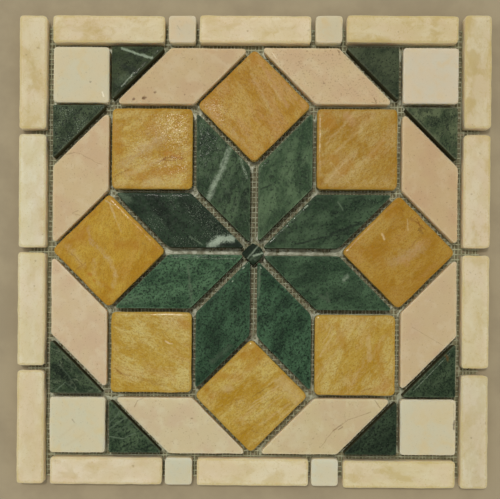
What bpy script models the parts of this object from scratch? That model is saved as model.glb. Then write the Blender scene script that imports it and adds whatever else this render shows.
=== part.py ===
# Square marble mosaic panel: cut tiles glued on a woven mesh, with open joints and no grout.
# Metres, +Z up. The panel lies flat with its back on Z = 0 and its centre on the origin.
# Seen from above, +X is to the right and +Y is to the top of the pattern.

import math

import bmesh
import bpy
from mathutils import Matrix, Vector

# Driving sizes of the pattern
GOLD_SIDE = 0.0508
FIELD_JOINT = 0.0029
STAR_JOINT = 0.0038
TRIANGLE_JOINT = 0.0023
STAR_SLIP = 0.0007

# Driving sizes of the border
BORDER_WIDTH = 0.017
FIELD_TO_BORDER = 0.0038
ROW_JOINT = 0.0026
COLUMN_JOINT = 0.0041
COLUMN_BRICKS = 4
ROW_PLAN = ("brick", "square", "brick", "square", "brick")

# Driving sizes across the thickness
MESH_THICKNESS = 0.0006
GLUE_GAP = 0.0003
TILE_THICKNESS = 0.0095

# How far the mesh stays back from the outer edges of the border
MESH_MARGIN = 0.004

# Rounding of the edges, by stone. In plan, the corners are worn round by a little more than the edges.
ARRIS = {
    "gold": 0.0008,
    "green": 0.0004,
    "pink": 0.0005,
    "ivory": 0.0006,
    "cream": 0.0006,
}
ARRIS_STEPS = 2
ARRIS_LEAST_ANGLE = math.radians(60)
CORNER_STEP = math.radians(45)
CORNER_LEAST_STEPS = 2
SAME_POINT = 0.00001
CORNER_WEAR = {
    "gold": 0.0019,
    "green": 0.0009,
    "pink": 0.0013,
    "ivory": 0.0014,
    "cream": 0.0016,
}

# The centre chip: a broken piece of green marble, laid a little off the panel's centre.
# Its sides' distances from its middle are shares of its radius, every 30 degrees from +X.
CHIP_OFF = (-0.0008, -0.0014)
CHIP_RADIUS = 0.0070
CHIP_SHAPE = (1.0, 0.90, 0.80, 0.92, 0.76, 0.77, 1.0, 0.76, 0.72, 1.12, 0.84, 0.87)
# Facets on its top: which way each one faces, how far its ridge is from the middle, how steeply it falls
CHIP_FACETS = (
    (math.radians(145), 0.0003, math.radians(14)),
    (math.radians(270), 0.0052, math.radians(50)),
)
CHIP_EDGE = 0.0004
CHIP_LEAST_ANGLE = math.radians(30)

# How far the hand-laid tiles sit off their places, as shares of the field's joint: right, up
LAID_OFF = {
    "gold_square_nw": (0.0, -0.20),
    "gold_square_ne": (-0.05, 0.0),
    "gold_square_sw": (0.10, 0.17),
    "gold_square_se": (-0.22, -0.20),
    "gold_diamond_n": (-0.18, 0.03),
    "gold_diamond_w": (-0.04, -0.12),
    "gold_diamond_s": (-0.44, 0.08),
    "gold_diamond_e": (-0.10, -0.05),
    "ivory_corner_nw": (0.25, 0.0),
    "ivory_corner_ne": (0.10, 0.30),
    "ivory_corner_sw": (-0.10, 0.05),
    "pink_rhombus_nnw": (-0.10, -0.10),
    "pink_rhombus_wnw": (0.25, -0.10),
    "pink_rhombus_nne": (-0.15, 0.10),
    "pink_rhombus_ene": (0.05, 0.10),
    "pink_rhombus_wsw": (0.10, 0.05),
    "green_triangle_nne": (0.12, 0.20),
    "green_triangle_nnw": (-0.07, 0.07),
    "green_triangle_wnw": (0.25, 0.38),
    "green_triangle_ssw": (-0.17, 0.18),
    "green_triangle_sse": (0.12, 0.06),
    "green_triangle_ese": (-0.24, -0.38),
    "green_triangle_ene": (-0.13, 0.30),
    "star_point_nne": (0.05, 0.12),
    "star_point_nnw": (-0.18, -0.12),
    "star_point_wnw": (-0.18, -0.02),
    "star_point_wsw": (-0.25, -0.10),
    "star_point_ssw": (-0.10, 0.05),
    "star_point_sse": (-0.02, -0.20),
    "star_point_ese": (0.05, -0.23),
    "star_point_ene": (-0.12, -0.10),
    "border_brick_top_1": (0.05, -0.30),
    "border_square_top_1": (0.0, -0.20),
    "border_brick_top_2": (-0.05, -0.10),
    "border_brick_top_3": (0.05, 0.15),
    "border_brick_bottom_1": (0.05, 0.35),
    "border_square_bottom_1": (-0.15, 0.35),
    "border_brick_bottom_2": (0.0, 0.25),
    "border_square_bottom_2": (-0.30, 0.30),
    "border_brick_bottom_3": (-0.10, -0.05),
    "border_brick_left_1": (0.0, -0.40),
    "border_brick_left_2": (0.0, -0.20),
    "border_brick_left_3": (-0.05, 0.10),
    "border_brick_left_4": (-0.05, 0.40),
    "border_brick_right_1": (0.10, 0.35),
    "border_brick_right_2": (0.0, 0.30),
    "border_brick_right_3": (-0.10, 0.10),
    "border_brick_right_4": (-0.20, -0.05),
}

# Worked-out sizes. CELL is the side of a star rhombus, and of a gold square, from joint line to joint line.
CELL = GOLD_SIDE + FIELD_JOINT
HALF_DIAGONAL = CELL / math.sqrt(2)
INNER_LINE = HALF_DIAGONAL
MIDDLE_LINE = HALF_DIAGONAL + CELL
OUTER_LINE = 2 * HALF_DIAGONAL + CELL
FIELD_HALF = OUTER_LINE - FIELD_JOINT / 2
BORDER_INNER = FIELD_HALF + FIELD_TO_BORDER
PANEL_HALF = BORDER_INNER + BORDER_WIDTH
TILE_BASE = MESH_THICKNESS + GLUE_GAP

EIGHTH_TURN = math.pi / 4
QUARTER_TURN = math.pi / 2
COMPASS_8 = ("nne", "nnw", "wnw", "wsw", "ssw", "sse", "ese", "ene")
COMPASS_4 = ("ne", "nw", "sw", "se")
AXES_4 = ("n", "w", "s", "e")


def clear_scene():
    for item in list(bpy.data.objects):
        bpy.data.objects.remove(item, do_unlink=True)


def make_collection(name):
    collection = bpy.data.collections.new(name)
    bpy.context.scene.collection.children.link(collection)
    return collection


def make_material(name, colour, roughness):
    material = bpy.data.materials.new(name)
    material.use_nodes = True
    shader = material.node_tree.nodes["Principled BSDF"]
    shader.inputs["Base Color"].default_value = (*colour, 1.0)
    shader.inputs["Roughness"].default_value = roughness
    shader.inputs["Metallic"].default_value = 0.0
    return material


def turned(points, angle):
    """The points, turned about the panel's centre."""
    turn = Matrix.Rotation(angle, 2)
    return [turn @ point for point in points]


def mirrored(points):
    """The points, mirrored about the panel's vertical axis and listed anticlockwise again."""
    return [Vector((-point.x, point.y)) for point in reversed(points)]


def inset(points, distance):
    """An anticlockwise convex outline with each side moved inwards."""
    moved = []
    for index, point in enumerate(points):
        before = (point - points[index - 1]).normalized()
        after = (points[(index + 1) % len(points)] - point).normalized()
        inward = Vector((-before.y, before.x)) + Vector((-after.y, after.x))
        half_angle = math.pi / 2 - before.angle(after) / 2
        moved.append(point + inward.normalized() * distance / math.sin(half_angle))
    return moved


def rounded(points, radius):
    """The outline with an arc of this radius at each corner."""
    outline = []
    for index, point in enumerate(points):
        towards = (points[index - 1] - point).normalized()
        away = (points[(index + 1) % len(points)] - point).normalized()
        half_angle = towards.angle(away) / 2
        middle = point + (towards + away).normalized() * radius / math.sin(half_angle)
        tangent = radius / math.tan(half_angle)
        start = point + towards * tangent - middle
        sweep = math.pi - 2 * half_angle
        steps = max(CORNER_LEAST_STEPS, round(sweep / CORNER_STEP))
        for step in range(steps + 1):
            outline.append(middle + Matrix.Rotation(sweep * step / steps, 2) @ start)
    return outline


def centre_of(points):
    return sum(points, Vector((0.0, 0.0))) / len(points)


def lay_tile(name, cell, joint, stone, materials, collection):
    """A tile that fills its cell up to half a joint on each side, with all its edges rounded."""
    middle = centre_of(cell)
    corners = inset([point - middle for point in cell], joint / 2)
    outline = rounded(corners, ARRIS[stone] + CORNER_WEAR[stone])
    curve = bpy.data.curves.new(name, "CURVE")
    curve.dimensions = "2D"
    curve.fill_mode = "BOTH"
    curve.extrude = TILE_THICKNESS / 2
    spline = curve.splines.new("POLY")
    spline.points.add(len(outline) - 1)
    for point, place in zip(spline.points, outline):
        point.co = (place.x, place.y, 0.0, 1.0)
    spline.use_cyclic_u = True
    tile = bpy.data.objects.new(name, curve)
    collection.objects.link(tile)
    curve.materials.append(materials[stone])
    right, up = LAID_OFF.get(name, (0.0, 0.0))
    tile.location = (
        middle.x + right * FIELD_JOINT,
        middle.y + up * FIELD_JOINT,
        TILE_BASE + TILE_THICKNESS / 2,
    )
    weld = tile.modifiers.new("Close caps", "WELD")
    weld.merge_threshold = SAME_POINT
    arris = tile.modifiers.new("Worn edges", "BEVEL")
    arris.width = ARRIS[stone]
    arris.segments = ARRIS_STEPS
    arris.limit_method = "ANGLE"
    arris.angle_limit = ARRIS_LEAST_ANGLE
    arris.loop_slide = False
    arris.use_clamp_overlap = False


def lay_star(materials, collection):
    """Eight rhombi whose sharp ends meet round the chip, each slipped outwards to leave room for it."""
    tip = Vector((0.0, CELL))
    side = Matrix.Rotation(-EIGHTH_TURN, 2) @ tip
    rhombus = [Vector((0.0, 0.0)), side, side + tip, tip]
    slip = (side + tip).normalized() * STAR_SLIP
    for index, direction in enumerate(COMPASS_8):
        cell = turned([point + slip for point in rhombus], index * EIGHTH_TURN)
        lay_tile(f"star_point_{direction}", cell, STAR_JOINT, "green", materials, collection)


def lay_gold(materials, collection):
    """Four squares on the diagonals, and four on the axes that stand on a corner."""
    square = [
        Vector((INNER_LINE, INNER_LINE)),
        Vector((MIDDLE_LINE, INNER_LINE)),
        Vector((MIDDLE_LINE, MIDDLE_LINE)),
        Vector((INNER_LINE, MIDDLE_LINE)),
    ]
    diamond = [
        Vector((0.0, CELL)),
        Vector((HALF_DIAGONAL, MIDDLE_LINE)),
        Vector((0.0, OUTER_LINE)),
        Vector((-HALF_DIAGONAL, MIDDLE_LINE)),
    ]
    for index in range(4):
        turn = index * QUARTER_TURN
        name = f"gold_square_{COMPASS_4[index]}"
        lay_tile(name, turned(square, turn), FIELD_JOINT, "gold", materials, collection)
        name = f"gold_diamond_{AXES_4[index]}"
        lay_tile(name, turned(diamond, turn), FIELD_JOINT, "gold", materials, collection)


def lay_outer_field(materials, collection):
    """The rosy rhombi, the green triangles and the corner squares that make the octagon square."""
    rhombus = [
        Vector((0.0, OUTER_LINE)),
        Vector((INNER_LINE, MIDDLE_LINE)),
        Vector((MIDDLE_LINE, MIDDLE_LINE)),
        Vector((CELL, OUTER_LINE)),
    ]
    triangle = [
        Vector((CELL, OUTER_LINE)),
        Vector((MIDDLE_LINE, MIDDLE_LINE)),
        Vector((MIDDLE_LINE, OUTER_LINE)),
    ]
    corner = [
        Vector((MIDDLE_LINE, MIDDLE_LINE)),
        Vector((OUTER_LINE, MIDDLE_LINE)),
        Vector((OUTER_LINE, OUTER_LINE)),
        Vector((MIDDLE_LINE, OUTER_LINE)),
    ]
    for index in range(4):
        turn = index * QUARTER_TURN
        right_side = COMPASS_8[(2 * index) % 8]
        left_side = COMPASS_8[(2 * index + 1) % 8]
        for direction, flip in ((right_side, False), (left_side, True)):
            for kind, stone, shape, joint in (
                ("pink_rhombus", "pink", rhombus, FIELD_JOINT),
                ("green_triangle", "green", triangle, TRIANGLE_JOINT),
            ):
                cell = turned(mirrored(shape) if flip else shape, turn)
                lay_tile(f"{kind}_{direction}", cell, joint, stone, materials, collection)
        name = f"ivory_corner_{COMPASS_4[index]}"
        lay_tile(name, turned(corner, turn), FIELD_JOINT, "ivory", materials, collection)


def block(left, right, low, high):
    return [
        Vector((left, low)),
        Vector((right, low)),
        Vector((right, high)),
        Vector((left, high)),
    ]


def lay_border_row(side, middle_y, materials, collection):
    """Bricks and small squares in turn, as long together as the field is wide."""
    squares = ROW_PLAN.count("square")
    bricks = ROW_PLAN.count("brick")
    joints = (len(ROW_PLAN) - 1) * ROW_JOINT
    length = {"square": BORDER_WIDTH}
    length["brick"] = (2 * FIELD_HALF - joints - squares * BORDER_WIDTH) / bricks
    stone = {"square": "ivory", "brick": "cream"}
    laid = {"square": 0, "brick": 0}
    left = -FIELD_HALF
    for kind in ROW_PLAN:
        laid[kind] += 1
        right = left + length[kind]
        cell = block(left, right, middle_y - BORDER_WIDTH / 2, middle_y + BORDER_WIDTH / 2)
        name = f"border_{kind}_{side}_{laid[kind]}"
        lay_tile(name, cell, 0.0, stone[kind], materials, collection)
        left = right + ROW_JOINT


def lay_border_column(side, middle_x, materials, collection):
    """Bricks from the panel's top edge down to its bottom edge."""
    joints = (COLUMN_BRICKS - 1) * COLUMN_JOINT
    length = (2 * PANEL_HALF - joints) / COLUMN_BRICKS
    for index in range(COLUMN_BRICKS):
        high = PANEL_HALF - index * (length + COLUMN_JOINT)
        left = middle_x - BORDER_WIDTH / 2
        cell = block(left, left + BORDER_WIDTH, high - length, high)
        name = f"border_brick_{side}_{index + 1}"
        lay_tile(name, cell, 0.0, "cream", materials, collection)


def lay_border(materials, collection):
    middle = BORDER_INNER + BORDER_WIDTH / 2
    lay_border_row("top", middle, materials, collection)
    lay_border_row("bottom", -middle, materials, collection)
    lay_border_column("left", -middle, materials, collection)
    lay_border_column("right", middle, materials, collection)


def lay_chip(materials, collection):
    """A broken chip: an uneven ring of sides, and a top with facets that fall away from the flat."""
    shape = bmesh.new()
    bmesh.ops.create_cone(
        shape,
        cap_ends=True,
        segments=len(CHIP_SHAPE),
        radius1=CHIP_RADIUS,
        radius2=CHIP_RADIUS,
        depth=TILE_THICKNESS,
    )
    turn = 2 * math.pi / len(CHIP_SHAPE)
    for vertex in shape.verts:
        side = round(math.atan2(vertex.co.y, vertex.co.x) / turn)
        factor = CHIP_SHAPE[side % len(CHIP_SHAPE)]
        vertex.co.x *= factor
        vertex.co.y *= factor
    for facet_turn, ridge_distance, slope in CHIP_FACETS:
        facing = Matrix.Rotation(facet_turn, 3, "Z")
        tilt = Matrix.Rotation(slope, 3, "Y")
        cut = bmesh.ops.bisect_plane(
            shape,
            geom=shape.verts[:] + shape.edges[:] + shape.faces[:],
            plane_co=facing @ Vector((ridge_distance, 0.0, TILE_THICKNESS / 2)),
            plane_no=facing @ tilt @ Vector((0.0, 0.0, 1.0)),
            clear_outer=True,
        )
        rim = [item for item in cut["geom_cut"] if isinstance(item, bmesh.types.BMEdge)]
        bmesh.ops.holes_fill(shape, edges=rim, sides=0)
    bmesh.ops.recalc_face_normals(shape, faces=shape.faces[:])
    mesh = bpy.data.meshes.new("centre_chip")
    shape.to_mesh(mesh)
    shape.free()
    mesh.materials.append(materials["green"])
    chip = bpy.data.objects.new("centre_chip", mesh)
    collection.objects.link(chip)
    chip.location = (*CHIP_OFF, TILE_BASE + TILE_THICKNESS / 2)
    edge = chip.modifiers.new("Broken edges", "BEVEL")
    edge.width = CHIP_EDGE
    edge.segments = 1
    edge.limit_method = "ANGLE"
    edge.angle_limit = CHIP_LEAST_ANGLE


def lay_mesh(materials, collection):
    """The woven backing as one thin sheet: its back is the face that is bedded in adhesive."""
    side = 2 * (PANEL_HALF - MESH_MARGIN)
    bpy.ops.mesh.primitive_cube_add(size=1.0, location=(0.0, 0.0, MESH_THICKNESS / 2))
    sheet = bpy.context.object
    sheet.name = "backing_mesh"
    sheet.data.name = "backing_mesh"
    sheet.data.transform(Matrix.Diagonal((side, side, MESH_THICKNESS, 1.0)))
    sheet.data.materials.append(materials["mesh"])
    for owner in list(sheet.users_collection):
        owner.objects.unlink(sheet)
    collection.objects.link(sheet)


def main():
    clear_scene()
    collection = make_collection("mosaic_panel")
    materials = {
        "green": make_material("green_marble", (0.028, 0.060, 0.036), 0.34),
        "gold": make_material("gold_marble", (0.445, 0.255, 0.052), 0.38),
        "pink": make_material("rosy_marble", (0.570, 0.425, 0.275), 0.52),
        "ivory": make_material("ivory_marble", (0.600, 0.575, 0.400), 0.50),
        "cream": make_material("cream_marble", (0.660, 0.570, 0.350), 0.58),
        "mesh": make_material("glued_mesh", (0.480, 0.450, 0.360), 0.60),
    }
    lay_mesh(materials, collection)
    lay_chip(materials, collection)
    lay_star(materials, collection)
    lay_gold(materials, collection)
    lay_outer_field(materials, collection)
    lay_border(materials, collection)
    bpy.context.view_layer.update()


main()
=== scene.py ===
import math
import random

import bmesh
import bpy
from mathutils import Matrix, Vector, kdtree, noise
from mathutils.geometry import convex_hull_2d


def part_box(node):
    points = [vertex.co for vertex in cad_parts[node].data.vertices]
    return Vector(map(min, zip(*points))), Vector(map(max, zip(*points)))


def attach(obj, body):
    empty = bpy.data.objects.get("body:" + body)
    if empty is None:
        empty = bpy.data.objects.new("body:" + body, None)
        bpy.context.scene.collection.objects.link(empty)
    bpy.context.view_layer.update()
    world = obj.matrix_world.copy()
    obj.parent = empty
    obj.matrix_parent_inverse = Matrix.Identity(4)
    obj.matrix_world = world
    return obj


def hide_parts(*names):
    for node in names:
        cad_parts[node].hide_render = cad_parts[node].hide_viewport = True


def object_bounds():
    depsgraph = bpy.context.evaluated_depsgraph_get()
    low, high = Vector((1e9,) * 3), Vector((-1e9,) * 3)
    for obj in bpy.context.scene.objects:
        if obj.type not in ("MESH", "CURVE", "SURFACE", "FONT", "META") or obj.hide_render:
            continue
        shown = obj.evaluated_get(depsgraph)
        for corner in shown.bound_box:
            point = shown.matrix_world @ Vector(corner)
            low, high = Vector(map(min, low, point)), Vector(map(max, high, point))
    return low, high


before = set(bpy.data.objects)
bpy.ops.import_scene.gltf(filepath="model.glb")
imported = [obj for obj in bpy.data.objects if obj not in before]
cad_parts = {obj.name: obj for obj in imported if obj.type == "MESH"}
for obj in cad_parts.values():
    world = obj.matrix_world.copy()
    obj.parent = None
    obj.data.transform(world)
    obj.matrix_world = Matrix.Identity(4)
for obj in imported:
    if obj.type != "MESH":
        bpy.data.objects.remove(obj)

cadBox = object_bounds()     # the box of the solids, before any piece is added
mm = 0.001
tiny = 0.01 * mm


# Camera, lights and floor

photoView = {
    "turn": 0.0075,                # the panel lies turned by this much in the picture, radians
    "width": 315.8 * mm,           # what the picture spans at the height of the tiles' tops
    "middle": (-2.6 * mm, 0.95 * mm),   # the point of the panel in the middle of the picture
    "lens": 69.0,
    "sensor": 36.0,
    "shiftUp": 0.1,
}

studio = {
    "fill": 0.66,
    "fillColour": (1.0, 0.955, 0.87, 1.0),
    "overhead": {"place": (-0.19, 0.43, 2.0), "size": 0.14, "power": 12.5, "colour": (1.0, 0.95, 0.86)},
    "key": {"place": (-1.2, 0.5, 2.0), "size": 1.4, "power": 3.0, "colour": (1.0, 0.94, 0.84)},
}


def addToScene(name, data):
    item = bpy.data.objects.new(name, data)
    bpy.context.scene.collection.objects.link(item)
    return item


def makeCamera():
    data = bpy.data.cameras.new("photoCamera")
    data.lens = photoView["lens"]
    data.sensor_width = photoView["sensor"]
    data.shift_y = photoView["shiftUp"]
    camera = addToScene("photoCamera", data)
    turn = Matrix.Rotation(photoView["turn"], 3, "Z")
    back = turn @ Vector((0.0, photoView["shiftUp"] * photoView["width"], 0.0))
    distance = photoView["width"] * photoView["lens"] / photoView["sensor"]
    camera.location = Vector((*photoView["middle"], cadBox[1].z + distance)) - back
    camera.rotation_euler = (0.0, 0.0, photoView["turn"])
    bpy.context.scene.camera = camera


def makeLight(name):
    spec = studio[name]
    data = bpy.data.lights.new(name, "AREA")
    data.shape = "SQUARE"
    data.size = spec["size"]
    data.energy = spec["power"]
    data.color = spec["colour"]
    light = addToScene(name, data)
    light.location = spec["place"]
    light.rotation_euler = (-Vector(spec["place"])).to_track_quat("-Z", "Y").to_euler()


def makeStudio():
    scene = bpy.context.scene
    scene.view_settings.view_transform = "Standard"
    world = bpy.data.worlds.new("studio")
    world.use_nodes = True
    background = world.node_tree.nodes["Background"]
    background.inputs["Color"].default_value = studio["fillColour"]
    background.inputs["Strength"].default_value = studio["fill"]
    scene.world = world
    makeLight("overhead")
    makeLight("key")


# Small helpers for node trees. They work in the tree of the sockets that they are given. A value that is a
# socket is linked, and any other is set.

def isSocket(value):
    return isinstance(value, bpy.types.NodeSocket)


def feed(socket, value):
    if isSocket(value):
        socket.id_data.links.new(value, socket)
    else:
        socket.default_value = value


def newNode(tree, kind, **settings):
    node = tree.nodes.new(kind)
    for name, value in settings.items():
        setattr(node, name, value)
    return node


def maths(operation, *values):
    tree = next(value.id_data for value in values if isSocket(value))
    node = newNode(tree, "ShaderNodeMath", operation=operation)
    for socket, value in zip(node.inputs, values):
        feed(socket, value)
    return node.outputs[0]


def multiply(*values):
    return maths("MULTIPLY", *values)


def oneMinus(value):
    return maths("SUBTRACT", 1.0, value)


def vectorMaths(operation, first, second, out="Vector"):
    node = newNode(first.id_data, "ShaderNodeVectorMath", operation=operation)
    feed(node.inputs[0], first)
    feed(node.inputs["Scale" if operation == "SCALE" else 1], second)
    return node.outputs[out]


def blendColour(mask, under, over):
    node = newNode(mask.id_data, "ShaderNodeMix", data_type="RGBA")
    for index, value in ((0, mask), (6, under), (7, over)):     # the sockets for colours are 6 and 7
        feed(node.inputs[index], value)
    return node.outputs[2]


def ramp(value, low, high, start=0.0, end=1.0):
    node = newNode(value.id_data, "ShaderNodeMapRange", interpolation_type="SMOOTHSTEP")
    for socket, given in zip(node.inputs, (value, low, high, start, end)):
        feed(socket, given)
    return node.outputs[0]


def noiseOf(vector, scale, detail=3.0, roughness=0.5, distortion=0.0):
    node = newNode(vector.id_data, "ShaderNodeTexNoise")
    labels = ("Vector", "Scale", "Detail", "Roughness", "Distortion")
    for label, value in zip(labels, (vector, scale, detail, roughness, distortion)):
        feed(node.inputs[label], value)
    return node.outputs


def cellsOf(vector, scale, **settings):
    node = newNode(vector.id_data, "ShaderNodeTexVoronoi", **settings)
    feed(node.inputs["Vector"], vector)
    feed(node.inputs["Scale"], scale)
    return node.outputs


def swayed(point, source, scale, detail, reach):
    sway = vectorMaths("SUBTRACT", noiseOf(source, scale, detail)["Color"], (0.5, 0.5, 0.5))
    return vectorMaths("ADD", point, vectorMaths("SCALE", sway, reach))


def relief(height, depth):
    node = newNode(height.id_data, "ShaderNodeBump")
    feed(node.inputs["Distance"], depth * mm)
    feed(node.inputs["Height"], height)
    return node.outputs["Normal"]


def newMaterial(name):
    material = bpy.data.materials.new(name)
    material.use_nodes = True
    tree = material.node_tree
    where = newNode(tree, "ShaderNodeTexCoord").outputs["Object"]
    return material, tree.nodes["Principled BSDF"].inputs, where


def attribute(tree, name):
    return newNode(tree, "ShaderNodeAttribute", attribute_name=name).outputs["Fac"]


def newGroup(name, out="Mask", **inputs):
    # a node group that turns a Vector in millimetres into one value; gives back its inner sockets
    group = bpy.data.node_groups.new(name, "ShaderNodeTree")
    for label, value in {"Vector": (0, 0, 0), **inputs}.items():
        kind = "Vector" if isinstance(value, tuple) else "Float"
        socket = group.interface.new_socket(name=label, in_out="INPUT", socket_type=f"NodeSocket{kind}")
        socket.default_value = value
    group.interface.new_socket(name=out, in_out="OUTPUT", socket_type="NodeSocketFloat")
    return group.nodes.new("NodeGroupInput").outputs, group.nodes.new("NodeGroupOutput").inputs[out]


def useGroup(name, **values):
    node = newNode(values["Vector"].id_data, "ShaderNodeGroup", node_tree=bpy.data.node_groups[name])
    for label, value in values.items():
        feed(node.inputs[label], value)
    return node.outputs[0]


# Effects that the stones share. The numbers in them are grains per millimetre and limits of soft ramps.

def makeClouds():
    # soft patches with a warped outline
    given, out = newGroup("stoneClouds", Stretch=(1, 1, 1), Scale=0.1, Low=0.4, High=0.6, Warp=2.0)
    stretched = vectorMaths("MULTIPLY", given["Vector"], given["Stretch"])
    warped = swayed(stretched, stretched, 0.12, 2.0, given["Warp"])
    patches = noiseOf(warped, given["Scale"], 4.0, 0.55)[0]
    feed(out, ramp(patches, given["Low"], given["High"]))


def makeStroke():
    # one vein, crack or scratch between two points of the plan, running down through the stone
    given, out = newGroup("veinStroke", Start=(0, 0, 0), End=(1, 0, 0), Width=1.0, Wander=1.0,
                          Patchy=0.3, Grain=0.7)
    point = swayed(given["Vector"], given["Vector"], 0.2, 3.0, given["Wander"])
    point = swayed(point, given["Vector"], 1.1, 3.0, given["Width"])
    point = vectorMaths("MULTIPLY", point, (1, 1, 0))
    fromStart = vectorMaths("SUBTRACT", point, given["Start"])
    along = vectorMaths("SUBTRACT", given["End"], given["Start"])
    dots = [vectorMaths("DOT_PRODUCT", side, along, out="Value") for side in (fromStart, along)]
    share = maths("MINIMUM", maths("MAXIMUM", maths("DIVIDE", *dots), 0.0), 1.0)
    nearest = vectorMaths("SCALE", along, share)
    gap = vectorMaths("DISTANCE", fromStart, nearest, out="Value")
    half = multiply(given["Width"], noiseOf(given["Vector"], 0.35, 2.0)[0])
    body = oneMinus(ramp(maths("DIVIDE", gap, half), 0.25, 1.6))
    broken = ramp(noiseOf(given["Vector"], given["Grain"], 3.0, 0.6)[0], 0.38, 0.58)
    feed(out, multiply(body, oneMinus(multiply(given["Patchy"], broken))))


def makeVeinNet():
    # thin lines along the borders of warped cells
    given, out = newGroup("veinNet", Stretch=(1, 1, 1), Scale=0.1, Width=0.04, Warp=4.0)
    stretched = vectorMaths("MULTIPLY", given["Vector"], given["Stretch"])
    warped = swayed(stretched, stretched, 0.2, 3.0, given["Warp"])
    gap = cellsOf(warped, given["Scale"], feature="DISTANCE_TO_EDGE")["Distance"]
    line = oneMinus(ramp(gap, 0.0, given["Width"]))
    part = ramp(noiseOf(given["Vector"], 0.15, 2.0)[0], 0.42, 0.62)
    feed(out, multiply(line, part))


def makeSpeckle():
    # fine grains, of which only a share shows
    given, out = newGroup("fineSpeckle", Scale=1.2, Share=0.4)
    grains = noiseOf(given["Vector"], given["Scale"], 2.0, 0.7)[0]
    edge = maths("SUBTRACT", 0.72, multiply(given["Share"], 0.35))
    feed(out, ramp(grains, edge, maths("ADD", edge, 0.1)))


def makePinholes():
    # pores of unlike sizes, in some of the cells only
    given, out = newGroup("pinholes", Scale=0.25, Share=0.3, Radius=0.12)
    shaken = vectorMaths("SCALE", noiseOf(given["Vector"], 0.9, 2.0)["Color"], 0.9)
    pores = cellsOf(vectorMaths("ADD", given["Vector"], shaken), given["Scale"])
    split = newNode(shaken.id_data, "ShaderNodeSeparateColor")
    feed(split.inputs[0], pores["Color"])
    chosen = maths("LESS_THAN", split.outputs[0], given["Share"])
    reach = multiply(given["Radius"], maths("ADD", split.outputs[1], 0.35))
    shallow = ramp(pores["Distance"], multiply(reach, 0.5), reach)
    feed(out, multiply(chosen, oneMinus(shallow)))


def makeWornRim():
    # wear along the arrises, from the piece's own "rim" values, broken up by noise
    given, out = newGroup("wornRim", Rim=0.0, Reach=0.5, Broken=0.5)
    rough = maths("SUBTRACT", noiseOf(given["Vector"], 0.8, 4.0, 0.6)[0], 0.5)
    value = maths("ADD", given["Rim"], multiply(rough, given["Broken"]))
    start = oneMinus(given["Reach"])
    feed(out, ramp(value, start, maths("ADD", start, 0.35)))


def makeWallSoilAndShading():
    # dust and cutting slurry on the sawn walls, and painted shading of the joint walls, more of both
    # towards the glue
    given, out = newGroup("wallSoilAndShading", Wall=0.0)
    drift = multiply(noiseOf(given["Vector"], 0.35, 4.0, 0.6)[0], 0.8)
    soil = multiply(ramp(given["Wall"], 0.0, 0.7), maths("ADD", 0.6, drift))
    feed(out, maths("MINIMUM", soil, 1.0))


def makeGrain():
    # height for a Bump node: crystals and a waxy ripple
    given, out = newGroup("stoneGrain", "Height", Fine=0.3, Ripple=0.3, RippleScale=0.8)
    crystals = multiply(noiseOf(given["Vector"], 3.2, 2.0, 0.6)[0], given["Fine"])
    ripple = noiseOf(given["Vector"], given["RippleScale"], 2.0, 0.5, 0.6)[0]
    feed(out, maths("ADD", crystals, multiply(ripple, given["Ripple"])))


def makeEffects():
    for make in (makeClouds, makeStroke, makeVeinNet, makeSpeckle, makePinholes, makeWornRim, makeWallSoilAndShading,
                 makeGrain):
        make()


# Colours of veins, cracks and stains, and of painted glints and highlights

milkVein = (0.33, 0.41, 0.33)
whiteVein = (0.26, 0.33, 0.25)
paleVein = (0.1, 0.145, 0.095)
greyVein = (0.06, 0.09, 0.058)
darkVein = (0.006, 0.013, 0.008)
# painted highlight: pale dots and dashes that stand in for light glinting on arrises and crystals
paintedGlint = (0.42, 0.5, 0.4)
rustStain = (0.1, 0.055, 0.012)
brownCrack = (0.21, 0.08, 0.01)
paleGold = (0.54, 0.42, 0.215)
deepGold = (0.37, 0.17, 0.006)
amberGold = (0.4, 0.19, 0.04)
honeyGold = (0.4, 0.2, 0.03)
rosyGold = (0.47, 0.285, 0.14)
greyGold = (0.46, 0.35, 0.19)
rustyGold = (0.4, 0.16, 0.01)
goldScratch = (0.62, 0.48, 0.26)
paleScratch = (0.66, 0.54, 0.36)
paintedGlossSpot = (0.75, 0.68, 0.52)
paintedSparkle = (0.85, 0.82, 0.7)
greyCrack = (0.25, 0.2, 0.1)
paleCrack = (0.3, 0.26, 0.16)
blackCrack = (0.08, 0.06, 0.03)
umber = (0.14, 0.075, 0.02)
poreBrown = (0.24, 0.14, 0.07)
olive = (0.47, 0.35, 0.12)


# The stones. A layer is an effect, its settings, the colour that it lays on and how strongly. A pair such
# as ("net", 0.25) is a mark that a tile may have, and the value for tiles without it.

def clouds(scale, low, high, warp, tint, strength, stretch=(1, 1, 1), **extra):
    settings = dict(Stretch=stretch, Scale=scale, Low=low, High=high, Warp=warp)
    return "stoneClouds", settings, tint, strength, extra


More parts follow.
